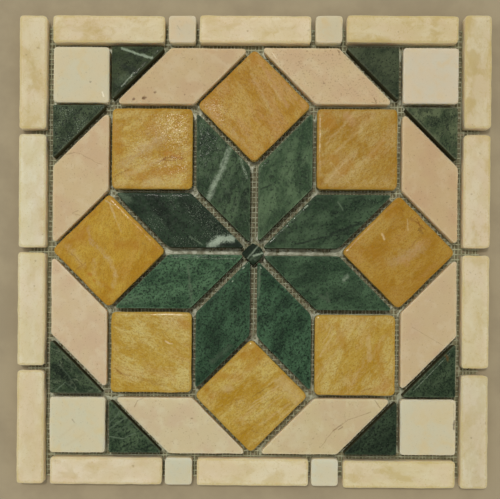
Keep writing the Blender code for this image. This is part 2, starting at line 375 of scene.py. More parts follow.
greenStone = {
    "tints": {
        "deep": (0.003, 0.01, 0.0055),
        "body": (0.0165, 0.04, 0.019),
        "light": (0.051, 0.096, 0.05),
        "line": (0.095, 0.15, 0.095),
    },
    "layers": (
        clouds(0.09, 0.38, 0.64, 10, "light", 1, (0.6, 1, 1)),
        clouds(0.5, 0.46, 0.66, 4, "deep", ("fibre", 0.4), (0.6, 1.1, 1)),
        clouds(0.1, 0.55, 0.66, 9, "deep", ("blots", 0.7), (0.7, 1, 1)),
        ("veinNet", dict(Stretch=(0.5, 1, 1), Scale=0.1, Width=0.06, Warp=8), "line", ("net", 0.25)),
        ("fineSpeckle", dict(Scale=1.1, Share=0.62), "light", 0.4),
        ("fineSpeckle", dict(Scale=0.8, Share=("spots", 0.6)), "deep", 0.85, {"shift": (51, 7, 3)}),
        # painted sparkles: fine pale dots in patches that stand in for glints of light off the crystals
        ("fineSpeckle", dict(Scale=1.5, Share=("paintedGlints", 0.15)), whiteVein, 0.7,
         {"shift": (11, 67, 9), "within": dict(Scale=0.07, Low=0.46, High=0.58, Warp=6)}),
    ),
    "worn": (0.22, 1.1, 0.45, "line"),     # reach, how broken, how strong and the colour
    "grain": (0.5, 0.9, 0.6),              # crystals, ripple and the ripple's scale
    "roughness": (0.5, 0.42, 0.6),         # its scale, lowest and highest
    # dark brown: soil, and partly painted shade of the joint walls
    "wall": (0.064, 0.065, 0.034),
    "gloss": 0.1,
    "polished": 0.35,
    "coat": 0.3,
    "arrisShine": 0.05,
    "coatRoughness": 0.11,
    "bump": 0.05,
}

goldStone = {
    "tints": {
        "body": (0.42, 0.262, 0.042),
        "ochre": (0.34, 0.172, 0.002),
        "pale": (0.54, 0.43, 0.17),
        "rose": (0.455, 0.28, 0.105),
        "crack": (0.2, 0.095, 0.02),
    },
    "layers": (
        clouds(0.06, 0.4, 0.6, 12, "ochre", ("ochre", 0.8), (0.7, 1, 1)),
        clouds(0.1, 0.42, 0.64, 12, "pale", ("pale", 0.6), (0.5, 1, 1)),
        clouds(0.1, 0.5, 0.62, 8, "rose", ("rose", 0.35), (0.4, 1, 1), shift=(77, 31, 5)),
        clouds(0.55, 0.48, 0.64, 5, "pale", ("pale", 0.6), (0.6, 1.1, 1), share=0.45),
        clouds(0.8, 0.5, 0.62, 4, "ochre", 0.55, (0.7, 1.1, 1), shift=(77, 31, 5)),
        ("veinNet", dict(Stretch=(0.6, 1, 1), Scale=0.06, Width=0.025, Warp=10), "crack", ("net", 0.3)),
        ("fineSpeckle", dict(Scale=1.5, Share=0.55), "crack", ("mottle", 0.46)),
    ),
    "worn": (0.35, 0.8, 0.45, "ochre"),
    "grain": (0.4, 0.9, 1.6),
    "roughness": (0.25, 0.4, 0.55),
    "wall": (0.6, 0.43, 0.13),
    "gloss": 0.12,
    "polished": 0.38,
    "coat": 0.22,
    "arrisShine": 1.6,
    "coatRoughness": 0.14,
    "seeThrough": 0.4,
    "depth": (5.0, 3.5, 1.4),
    "bump": 0.11,
}

paleFinish = {"gloss": 0.2, "polished": 0.2, "coat": 0.2, "arrisShine": 0.1, "coatRoughness": 0.15,
              "seeThrough": 0.8, "depth": (7.5, 6.5, 5.0)}

rosyStone = {
    **paleFinish,
    "tints": {
        "body": (0.555, 0.45, 0.275),
        "pink": (0.54, 0.412, 0.262),
        "pale": (0.59, 0.5, 0.335),
        "pore": (0.2, 0.11, 0.055),
    },
    "layers": (
        clouds(0.05, 0.4, 0.62, 6, "pink", 1),
        clouds(0.11, 0.48, 0.7, 6, "pale", 0.8, shift=(41, 3, 9)),
        ("fineSpeckle", dict(Scale=0.9, Share=("specks", 0.3)), "pore", 0.45),
        ("pinholes", dict(Scale=0.22, Share=("pores", 0.15), Radius=0.13), "pore", 0.5),
    ),
    "hollows": 0.75,                       # how dark its chips and pits are
    "worn": (0.3, 0.7, 0.35, "pale"),
    "grain": (0.4, 0.5, 0.5),
    "roughness": 0.5,
    # walls lighter than the top: painted light on the joint walls
    "wall": (0.8, 0.68, 0.48),
    "bump": 0.05,
}

ivoryStone = {
    **paleFinish,
    "tints": {
        "body": (0.62, 0.555, 0.395),
        "cool": (0.598, 0.568, 0.432),
        "warm": (0.62, 0.54, 0.35),
        "pore": (0.16, 0.13, 0.08),
    },
    "layers": (
        clouds(0.06, 0.4, 0.62, 8, "cool", 1),
        clouds(0.12, 0.5, 0.7, 6, "warm", 1, shift=(23, 57, 5)),
        ("fineSpeckle", dict(Scale=0.8, Share=0.3), "pore", 0.2),
    ),
    "hollows": 0.6,
    "grain": (0.4, 0.5, 0.4),
    "roughness": (0.3, 0.4, 0.55),
    # walls lighter than the top: painted light on the joint walls
    "wall": (0.8, 0.75, 0.56),
    "depth": (7.5, 6.8, 5.5),
    "bump": 0.04,
}

creamStone = {
    **paleFinish,
    "tints": {
        "body": (0.64, 0.575, 0.385),
        "white": (0.685, 0.635, 0.475),
        "blush": (0.645, 0.53, 0.39),
        "stain": (0.51, 0.41, 0.16),
        "pore": (0.27, 0.19, 0.085),
    },
    "layers": (
        clouds(0.08, 0.38, 0.62, 8, "white", 1, (0.6, 1, 1)),
        clouds(0.06, 0.45, 0.62, 9, "blush", 0.35, (0.6, 1, 1), shift=(61, 29, 3)),
        clouds(0.09, 0.48, 0.66, 10, "stain", ("stain", 0.5), (0.7, 1, 1), shift=(19, 83, 7)),
        ("veinNet", dict(Scale=0.1, Width=0.05, Warp=8), "stain", 0.25),
        ("fineSpeckle", dict(Scale=0.9, Share=0.35), "stain", 0.5),
        ("pinholes", dict(Scale=0.26, Share=0.18, Radius=0.12), "pore", 0.35),
    ),
    "hollows": 0.45,
    "worn": (0.4, 1.0, 0.45, "stain"),
    "grain": (0.4, 0.8, 0.45),
    "roughness": 0.55,
    # walls lighter than the top: painted light on the joint walls
    "wall": (0.8, 0.69, 0.48),
    "polished": 0.25,
    "bump": 0.08,
}


surface = {
    "block": (37.0, 91.0, 13.0),   # how far apart two tiles lie in their block, in millimetres
    "wander": 2.0,                 # of a stroke that doesn't say otherwise
    "patchy": 0.4,
    "strokeGrain": 0.7,
    # grain of the painted glints' dots
    "paintedGlintGrain": 1.7,
    "polishGrain": 1.8,
    "arrisReach": 0.5,
    "arrisBroken": 2.0,
    "noise": (0.3, 0.7),           # limits of the noise that varies the roughness
    "soilRoughness": 0.3,
    "lessBlue": 1.5,               # warmth takes this many times as much blue as it adds red
}


def colourOf(values, marks):
    # a tile's tone makes all of its colours lighter, and its warmth or red makes them warmer
    red, green, blue = values
    tone, warmth = marks.get("tone", 1.0), marks.get("warmth", 0.0)
    red *= tone * marks.get("red", 1.0 + warmth)
    return red, green * tone, blue * tone * (1 - surface["lessBlue"] * warmth), 1.0


def pick(value, marks):
    named = isinstance(value, tuple) and isinstance(value[0], str)
    return marks.get(*value) if named else value


def addLayer(grain, colour, tints, marks, layer):
    effect, settings, tint, strength, *more = layer
    extra = more[0] if more else {}
    point = vectorMaths("ADD", grain, extra["shift"]) if "shift" in extra else grain
    settings = {label: pick(value, marks) for label, value in settings.items()}
    spots = mask = useGroup(effect, Vector=point, **settings)
    if "within" in extra:
        mask = multiply(mask, useGroup("stoneClouds", Vector=point, **extra["within"]))
    mask = multiply(mask, pick(strength, marks) * extra.get("share", 1))
    return blendColour(mask, colour, tints[tint] if tint in tints else (*tint, 1.0)), spots


def addStrokes(panel, colour, strokes):
    for startX, startY, endX, endY, width, tint, strength, *more in strokes:
        wander, patchy = more or (surface["wander"], surface["patchy"])
        mask = useGroup(
            "veinStroke", Vector=panel, Start=(startX, startY, 0), End=(endX, endY, 0), Width=width,
            Wander=wander, Patchy=patchy, Grain=surface["paintedGlintGrain" if tint == paintedGlint else "strokeGrain"],
        )
        colour = blendColour(multiply(mask, strength), colour, (*tint, 1.0))
    return colour


def makeStone(name, node, kind, marks, seed):
    # each tile has a material of its own, cut from another part of the block
    material, shader, where = newMaterial(name)
    tree = where.id_data
    low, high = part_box(node)
    panel = vectorMaths("SCALE", where, 1.0 / mm)     # millimetres from the panel's centre
    mapping = newNode(tree, "ShaderNodeMapping")
    feed(mapping.inputs["Vector"], vectorMaths("SUBTRACT", panel, (low + high) / 2 / mm))
    mapping.inputs["Rotation"].default_value = (0.0, 0.0, -math.radians(marks["turn"]))
    mapping.inputs["Location"].default_value = [step * seed for step in surface["block"]]
    grain = mapping.outputs["Vector"]                       # along and across the tile's own grain
    rim = attribute(tree, "rim")
    tints = {label: colourOf(values, marks) for label, values in kind["tints"].items()}
    colour = tints["body"]
    fine, ripple, rippleScale = kind["grain"]
    height = useGroup("stoneGrain", Vector=grain, Fine=fine, Ripple=ripple, RippleScale=rippleScale)
    for layer in kind["layers"]:
        colour, spots = addLayer(grain, colour, tints, marks, layer)
        if layer[0] == "pinholes":
            height = maths("SUBTRACT", height, spots)
    colour = addStrokes(panel, colour, marks.get("strokes", ()))
    if "hollows" in kind:
        hollow = multiply(attribute(tree, "hollow"), kind["hollows"])
        colour = blendColour(hollow, colour, tints["pore"])
    if "worn" in kind:
        reach, broken, strength, tint = kind["worn"]
        worn = useGroup("wornRim", Vector=grain, Rim=rim, Reach=reach, Broken=broken)
        colour = blendColour(multiply(worn, strength), colour, tints[tint])
    roughness = kind["roughness"]
    if isinstance(roughness, tuple):
        scale, smoothest, roughest = roughness
        roughness = ramp(noiseOf(grain, scale)[0], *surface["noise"], smoothest, roughest)
    # the walls take the stone's wall colour, more towards the glue: soil, and painted shading (painted
    # light on the pale stones' walls, painted shade on the green's)
    soilAndShading = useGroup("wallSoilAndShading", Vector=grain, Wall=attribute(tree, "wall"))
    polished = useGroup("fineSpeckle", Vector=panel, Scale=surface["polishGrain"], Share=kind["polished"])
    reach, broken = surface["arrisReach"], surface["arrisBroken"]
    arris = useGroup("wornRim", Vector=panel, Rim=rim, Reach=reach, Broken=broken)
    polished = maths("MAXIMUM", polished, multiply(arris, kind["arrisShine"]))
    polished = multiply(polished, oneMinus(soilAndShading))
    given = {
        "Base Color": blendColour(soilAndShading, colour, (*kind["wall"], 1.0)),
        "Roughness": maths("ADD", roughness, multiply(soilAndShading, surface["soilRoughness"])),
        "Specular IOR Level": kind["gloss"],
        "Coat Weight": multiply(polished, kind["coat"] * marks.get("shine", 1.0)),
        "Coat Roughness": kind["coatRoughness"],
        "Subsurface Weight": kind.get("seeThrough", 0.0),
        "Subsurface Radius": kind.get("depth", (1.0, 1.0, 1.0)),
        "Subsurface Scale": mm,
        "Normal": relief(height, kind["bump"]),
    }
    for label, value in given.items():
        feed(shader[label], value)
    return material


# Tiles: a fine skin over each solid's outline, with a round arris, sawn walls, a wavy top, chips and pits

skin = {
    "arrisSteps": 3,
    "wallSteps": 3,
    "sliver": 0.3,                 # points on the cut nearer than this are merged, in steps of the grid
    "nearCut": 0.38,               # and points this near to it are drawn onto it
    "arrisSoilAndShading": 0.3,              # soil and painted shading at the foot of the arris and at the top of the wall
    "wallSoilAndShading": 0.6,
    "waves": {"wander": 0.11, "ragged": 0.55, "wave": 0.06, "ripple": 0.38},    # waves per millimetre
    "waveFade": 4,                 # the waves fade out in the upper quarter of the tile
    "apart": (7.31, 3.17, 1.93),   # how far apart two tiles lie in the waves, in millimetres
}

tileFinish = {
    "gold": {
        "step": 0.85 * mm, "rounds": 3, "rimReach": 3.0 * mm, "wander": 0.3 * mm, "ragged": 0.1 * mm,
        "wave": 0.16 * mm, "ripple": 0.02 * mm, "sag": 0.22 * mm, "chips": (3, 0.8 * mm, 1.4 * mm),
    },
    "green": {
        "step": 0.95 * mm, "rounds": 2, "rimReach": 2.5 * mm, "wander": 0.15 * mm, "ragged": 0.08 * mm,
        "wave": 0.1 * mm, "ripple": 0.03 * mm, "sag": 0.1 * mm, "chips": (3, 0.6 * mm, 1.0 * mm),
    },
    "pink": {
        "step": 0.95 * mm, "rounds": 2, "rimReach": 2.5 * mm, "wander": 0.2 * mm, "ragged": 0.08 * mm,
        "wave": 0.15 * mm, "ripple": 0.03 * mm, "sag": 0.12 * mm, "pits": (1, 0.4 * mm, 0.6 * mm),
    },
    "ivory": {
        "step": 0.95 * mm, "rounds": 2, "rimReach": 2.5 * mm, "wander": 0.2 * mm, "ragged": 0.08 * mm,
        "wave": 0.12 * mm, "ripple": 0.03 * mm, "sag": 0.1 * mm,
    },
    "cream": {
        "step": 0.9 * mm, "rounds": 3, "rimReach": 3.0 * mm, "wander": 0.28 * mm, "ragged": 0.12 * mm,
        "wave": 0.25 * mm, "ripple": 0.07 * mm, "sag": 0.2 * mm, "chips": (4, 0.7 * mm, 1.3 * mm),
        "pits": (2, 0.4 * mm, 0.7 * mm),
    },
}

damage = {
    "chippedSide": 5 * mm,         # shorter sides aren't chipped
    "fromCorner": 0.03,
    "chipOut": (0.45, 0.7),        # how far outside the arris a chip's ball is centred, in radii
    "chipLift": (0.1, 0.45),
    "pitInward": (0.1, 0.6),
    "pitLift": (0.35, 0.7),
    "markedLift": 0.4,
    "darkAt": 0.12 * mm,           # a hollow is darkest from this depth on
    "finerRound": 1.3,             # the mesh is made finer as far out as this, in radii
}


def solidCopy(nodeName):
    # a solid's triangles are loose, so a copy is merged first
    shape = bmesh.new()
    shape.from_mesh(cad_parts[nodeName].data)
    bmesh.ops.remove_doubles(shape, verts=shape.verts, dist=tiny / 10)
    return shape


def flatTop(nodeName):
    # the corners of the flat top, anticlockwise, their middle, and the width of the rounded arris
    shape = solidCopy(nodeName)
    heights = sorted({round(vertex.co.z, 6) for vertex in shape.verts})
    top = heights[-1]
    wallTop = min(height for height in heights if height > (heights[0] + top) / 2)
    corners = [vertex.co.copy() for vertex in shape.verts if top - vertex.co.z < tiny]
    shape.free()
    middle = sum(corners, Vector()) / len(corners)
    corners = [corners[index] for index in convex_hull_2d([corner.xy for corner in corners])]
    # corners that all but coincide would give a side no direction
    apart = [(corner - corners[index - 1]).length > 5 * tiny for index, corner in enumerate(corners)]
    return [corner for corner, kept in zip(corners, apart) if kept], middle, top - wallTop


def outOf(start, end):
    along = (end - start).normalized()
    return Vector((along.y, -along.x, 0.0))


def sidesOf(corners):
    # each side's start and end, and which way is out
    return [(start, end, outOf(start, end)) for start, end in zip(corners, corners[1:] + corners[:1])]


def depthInside(point, sides):
    return min((start - point).dot(out) for start, end, out in sides)


def rimOf(shape):
    return [vertex for vertex in shape.verts if vertex.is_boundary]


def rimNeighbours(vertex):
    return [edge.other_vert(vertex).co for edge in vertex.link_edges if edge.is_boundary]


def gridInOutline(corners, middle, sides, step):
    longest = max((end - start for start, end, out in sides), key=lambda side: side.length)
    reach = max((corner - middle).length for corner in corners) + step
    shape = bmesh.new()
    count = math.ceil(2 * reach / step)
    place = Matrix.Translation(middle) @ Matrix.Rotation(math.atan2(longest.y, longest.x), 4, "Z")
    bmesh.ops.create_grid(shape, x_segments=count, y_segments=count, size=reach, matrix=place)
    for start, end, out in sides:
        along = end - start
        bmesh.ops.bisect_plane(
            shape, geom=shape.verts[:] + shape.edges[:] + shape.faces[:], dist=tiny / 10,
            plane_co=start, plane_no=(along.y, -along.x, 0.0), clear_outer=True,
        )
    # slivers along the cut are merged into it
    bmesh.ops.remove_doubles(shape, verts=rimOf(shape), dist=step * skin["sliver"])
    rim, reach = rimOf(shape), step * skin["nearCut"]
    near = bmesh.ops.find_doubles(shape, verts=shape.verts[:], keep_verts=rim, dist=reach)
    bmesh.ops.weld_verts(shape, targetmap=near["targetmap"])
    return shape


def smoothCorners(shape, rounds):
    rim = rimOf(shape)
    for _ in range(rounds):
        moved = {}
        for vertex in rim:
            before, after = rimNeighbours(vertex)
            moved[vertex] = vertex.co / 2 + (before + after) / 4
        for vertex, place in moved.items():
            vertex.co = place


def markTop(shape, sides, layers, middle, reach):
    # how near each point is to the arris, and which way is out along it
    for vertex in shape.verts:
        vertex[layers["rim"]] = max(0.0, 1.0 - depthInside(vertex.co, sides) / reach)
        if vertex.is_boundary:
            normal = outOf(*rimNeighbours(vertex))
            vertex[layers["outward"]] = normal if normal.dot(vertex.co - middle) > 0 else -normal


def growEdge(shape, edges, layers, out, down, rim, wall):
    grown = bmesh.ops.extrude_edge_only(shape, edges=edges)["geom"]
    for vertex in grown:
        if isinstance(vertex, bmesh.types.BMVert):
            vertex.co += vertex[layers["outward"]] * out
            vertex.co.z -= down
            vertex[layers["rim"]] = rim
            vertex[layers["wall"]] = wall
    return [item for item in grown if isinstance(item, bmesh.types.BMEdge) and item.is_boundary]


def growWalls(shape, layers, arris, thickness):
    edges = [edge for edge in shape.edges if edge.is_boundary]
    steps = skin["arrisSteps"]
    turns = [math.pi / 2 * index / steps for index in range(steps + 1)]
    for before, after in zip(turns, turns[1:]):
        out = arris * (math.sin(after) - math.sin(before))
        down = arris * (math.cos(before) - math.cos(after))
        edges = growEdge(shape, edges, layers, out, down, 1.0, skin["arrisSoilAndShading"] * after / turns[-1])
    steps, least = skin["wallSteps"], skin["wallSoilAndShading"]
    for index in range(steps):
        soil = least + (1 - least) * (index + 1) / steps
        edges = growEdge(shape, edges, layers, 0.0, (thickness - 2 * arris) / steps, 0.0, soil)
    for before, after in zip(turns[::-1], turns[-2::-1]):
        out = arris * (math.sin(after) - math.sin(before))
        down = arris * (math.cos(after) - math.cos(before))
        edges = growEdge(shape, edges, layers, out, down, 0.0, 1.0)
    bmesh.ops.holes_fill(shape, edges=edges, sides=0)
    bmesh.ops.recalc_face_normals(shape, faces=shape.faces[:])


def carve(shape, layers, centre, radius, cuts):
    # a round bite out of the stone, with finer faces where it lies
    reach = radius * damage["finerRound"]
    near = [edge for edge in shape.edges if all((end.co - centre).length < reach for end in edge.verts)]
    if near:
        bmesh.ops.subdivide_edges(shape, edges=near, cuts=cuts, use_grid_fill=True)
    for vertex in shape.verts:
        offset = vertex.co - centre
        if offset.length < radius:
            depth = radius - offset.length
            vertex.co = centre + offset.normalized() * radius
            vertex[layers["hollow"]] = min(1.0, depth / damage["darkAt"])


def wearTop(shape, layers, spec, top, thickness, seed):
    shift = Vector([seed * step for step in skin["apart"]])
    for vertex in shape.verts:
        point = vertex.co / mm + shift
        rolls = {name: noise.noise(point * scale) * spec[name] for name, scale in skin["waves"].items()}
        outward = vertex[layers["outward"]]
        if outward.length > 0.5:
            vertex.co += outward * (rolls["wander"] + rolls["ragged"])
        fade = 1 - skin["waveFade"] * ((top - vertex.co.z) / thickness)
        if fade > 0:
            wave = rolls["wave"] + rolls["ripple"]
            vertex.co.z += wave * fade - spec["sag"] * vertex[layers["rim"]] ** 3


def addChips(shape, layers, sides, arris, spec, chance):
    count, smallest, largest = spec.get("chips", (0, 0, 0))
    ends = damage["fromCorner"]
    for _ in range(count):
        start, end, out = chance.choice(
            [side for side in sides if (side[1] - side[0]).length > damage["chippedSide"]]
        )
        place = start.lerp(end, chance.uniform(ends, 1 - ends))
        radius = chance.uniform(smallest, largest)
        place += out * (arris + radius * chance.uniform(*damage["chipOut"]))
        place.z += radius * chance.uniform(*damage["chipLift"])
        carve(shape, layers, place, radius, 1)


def addPits(shape, layers, corners, top, spec, marks, chance):
    count, smallest, largest = spec.get("pits", (0, 0, 0))
    for _ in range(count):
        first, second, third = chance.sample(corners, 3)
        place = first.lerp(second, chance.random()).lerp(third, chance.uniform(*damage["pitInward"]))
        radius = chance.uniform(smallest, largest)
        place.z += radius * chance.uniform(*damage["pitLift"])
        carve(shape, layers, place, radius, 2)
    for x, y, radius in marks.get("pits", ()):
        place = Vector((x * mm, y * mm, top + radius * mm * damage["markedLift"]))
        carve(shape, layers, place, radius * mm, 2)


def makeTile(nodeName, pieceName, spec, marks, seed):
    corners, middle, arris = flatTop(nodeName)
    sides = sidesOf(corners)
    low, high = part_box(nodeName)
    shape = gridInOutline(corners, middle, sides, spec["step"])
    layers = {"outward": shape.verts.layers.float_vector.new("outward")}
    for name in ("rim", "wall", "hollow"):
        layers[name] = shape.verts.layers.float.new(name)
    smoothCorners(shape, spec["rounds"])
    markTop(shape, sides, layers, middle, spec["rimReach"])
    growWalls(shape, layers, arris, high.z - low.z)
    wearTop(shape, layers, spec, high.z, high.z - low.z, seed)
    chance = random.Random(seed)
    addChips(shape, layers, sides, arris, spec, chance)
    addPits(shape, layers, corners, high.z, spec, marks, chance)
    shape.verts.layers.float_vector.remove(layers["outward"])
    return savePiece(shape, pieceName)


def savePiece(shape, pieceName):
    mesh = bpy.data.meshes.new(pieceName)
    shape.to_mesh(mesh)
    shape.free()
    mesh.shade_smooth()
    return addToScene(pieceName, mesh)


def settle(piece, nodeName, material):
    piece.data.materials.append(material)
    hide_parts(nodeName)
    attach(piece, "root")


# What is particular to each tile, by its place in the pattern. A stroke is a vein, crack or stain, or a
# painted
# glint, highlight or shadow: x and y of its start and its end in millimetres from the panel's centre, its
# width, colour and strength, and maybe how much it wanders and how patchy it is. Turns are in degrees. Pits
# are x, y and radius.

starPoints = {
    "nne": dict(turn=75, tone=1.434, red=1.127, blots=0.2, spots=0.42, net=0.1, strokes=(
        (9.7, 46.8, 10.8, 47, 2.2, darkVein, 0.8), (4.1, 39.2, 10.4, 41.8, 1, darkVein, 0.8, 1, 0.2),
        (28, 60, 35, 38, 5, darkVein, 0.7, 5, 0.9), (24, 52, 30, 40, 3, darkVein, 0.5, 4, 1),
    )),
    "nnw": dict(turn=80, tone=1.044, red=1.1, shine=0.3, fibre=0.75, spots=0.5, strokes=(
        (-15.9, 64.9, -19.8, 52.6, 2.8, whiteVein, 0.75, 1.8, 0.65),
        (-17.6, 63.5, -22, 52.5, 1.1, whiteVein, 0.6, 1.5, 0.6),
        (-19.8, 52.6, -25.8, 41.5, 3, whiteVein, 0.85, 1.8, 0.5),
        (-25.8, 41.5, -29.3, 32.4, 3.2, whiteVein, 0.85, 1.8, 0.5),
        (-9.3, 58.7, -4.8, 46.1, 1.4, paintedGlint, 0.5, 2, 1),
    )),
    "wnw": dict(turn=-40, tone=0.437, red=0.883, shine=1.5, spots=0.5, paintedGlints=0.4, net=0.1, strokes=(
        (-27.2, 3.6, -22.8, 6.1, 4.8, milkVein, 0.9, 1.5, 0.2),
        (-22.8, 7.6, -14, 7.9, 4.2, milkVein, 0.9, 1.5, 0.2),
        (-20.9, 3.8, -9, 3.9, 2.6, darkVein, 0.9, 1, 0.1), (-40.7, 9, -33, 3.8, 1, paleVein, 0.7, 1, 0.4),
        (-84.3, 34.9, -79.9, 31.6, 4.5, paleVein, 0.7, 2, 0.5),
    )),
    "wsw": dict(turn=15, tone=1.479, red=0.873, fibre=0.55, blots=0.35, net=0.15, strokes=(
        (-56.2, -4.4, -12, -5, 0.8, paintedGlint, 0.35, 0.8, 1), (-41.7, -9.2, -40.4, -22, 1.6, paleVein, 0.6),
        (-40.4, -22, -39, -34, 2.2, paleVein, 0.5), (-83, -32, -74, -30, 5, paleVein, 0.35, 3, 0.5),
    )),
    "ssw": dict(turn=65, tone=0.967, red=0.786, fibre=0.5, blots=0.5, net=0.15, strokes=(
        (-7, -11, -6.2, -10.4, 0.9, paintedGlint, 0.7, 0.5, 0.2),
        (-13.6, -19.3, -13.2, -19, 0.5, paintedGlint, 0.8, 0.2, 0), (-14, -60, -26, -70, 3, greyVein, 0.5),
    )),
    "sse": dict(turn=60, tone=1.12, red=0.794, fibre=0.5, blots=0.5, net=0.05, strokes=(
        (3.8, -9.8, 2.9, -29.7, 1.3, paleVein, 0.9, 0.8, 0.3),
        (4.2, -10.3, 4.5, -10.9, 0.5, paintedGlint, 0.9, 0.2, 0), (3.5, -43, 6.5, -44.5, 3.2, darkVein, 0.6),
    )),
    "ese": dict(turn=20, tone=1.06, red=0.94, blots=0.4, spots=0.54, net=0.1, strokes=(
        (56.9, -17.9, 59, -15.6, 2.2, whiteVein, 0.55, 1, 0.4), (42, -28, 47.5, -31.5, 2, greyVein, 0.7),
        (47.5, -31.5, 46, -26, 1.2, greyVein, 0.7),
    )),
    "ene": dict(turn=30, tone=0.929, red=1.027, blots=0.5, spots=0.48, net=0.15, strokes=(
        (47.9, 10.6, 68.7, 18.4, 1.5, darkVein, 0.85, 3, 0.2),
        (25.8, 4.2, 43.4, 9, 1.2, darkVein, 0.8, 2.5, 0.2), (43.4, 9, 62, 12, 0.9, darkVein, 0.7, 2.5, 0.3),
        (52.8, 31.3, 56, 26.3, 0.8, paleVein, 0.8, 1, 0.2), (31.8, 27.4, 33.6, 29, 1, paintedGlint, 0.9, 0.5, 0.5),
    )),
}

greenTriangles = {
    "nne": dict(turn=40, tone=0.748, red=1.408, blots=0.2, spots=0.45, net=0.1),
    "nnw": dict(turn=20, tone=0.643, red=1.325, warmth=0.08, blots=0.8, spots=0.5, strokes=(
        (-84.4, 127.4, -76.2, 124.5, 1.5, whiteVein, 0.9, 1, 0.2),
        (-76.2, 124.5, -65.5, 121.5, 1.6, whiteVein, 0.9, 1, 0.2),
        (-82.5, 115.5, -77, 113, 5, darkVein, 0.8, 3, 0.3),
        (-84.6, 103.5, -76.8, 112, 0.9, whiteVein, 0.75, 0.8, 0.6),
        (-86.5, 106, -81, 110, 4, paleVein, 0.35, 2, 0.5),
    )),
    "wnw": dict(turn=60, tone=0.874, red=1.3, fibre=0.5, blots=0.55, paintedGlints=0.5, net=0.35),
    "wsw": dict(turn=-30, tone=0.982, red=1.224, fibre=0.6, blots=0.9, net=0.8, strokes=(
        (-125, -89.5, -118.8, -83.9, 0.8, paleVein, 0.9, 1, 0.2),
        (-118.8, -83.9, -112, -88, 0.7, paleVein, 0.7), (-123, -72, -115, -82, 0.8, greyVein, 0.8),
        (-117, -83.5, -113, -85, 4, darkVein, 0.7),
    )),
    "ssw": dict(turn=30, tone=1.157, red=1.16, fibre=0.7, strokes=(
        (-91.5, -110, -83, -101.5, 1.1, paleVein, 0.6, 2, 0.2),
        (-91, -113, -79.5, -105.5, 1.2, paleVein, 0.6, 2, 0.2),
        (-91.4, -117.8, -82, -119.2, 0.9, paleVein, 0.9, 1, 0.1),
        (-82, -119.2, -74.3, -115.5, 0.9, paleVein, 0.8, 1, 0.2),
        (-86, -115.5, -77, -109, 1, greyVein, 0.8, 2, 0.3), (-90, -104, -86, -99, 1, greyVein, 0.8, 2, 0.3),
    )),
    "sse": dict(turn=55, tone=0.55, red=1.06, fibre=0.6, blots=0.6, net=0.1, strokes=(
        (91.2, -99, 91.2, -107, 0.6, paintedGlint, 0.8, 0.3, 0.5),
    )),
    "ese": dict(turn=45, tone=0.936, red=1.195, net=0.1, strokes=(
        (101.5, -87.5, 124, -63.8, 0.5, paintedGlint, 0.4, 0.3, 0.8),
        (121.7, -65.5, 122.8, -67.9, 2.2, rustStain, 0.8),
    )),
    "ene": dict(turn=70, tone=1.301, red=1.463, spots=0.5, net=0.2),
}

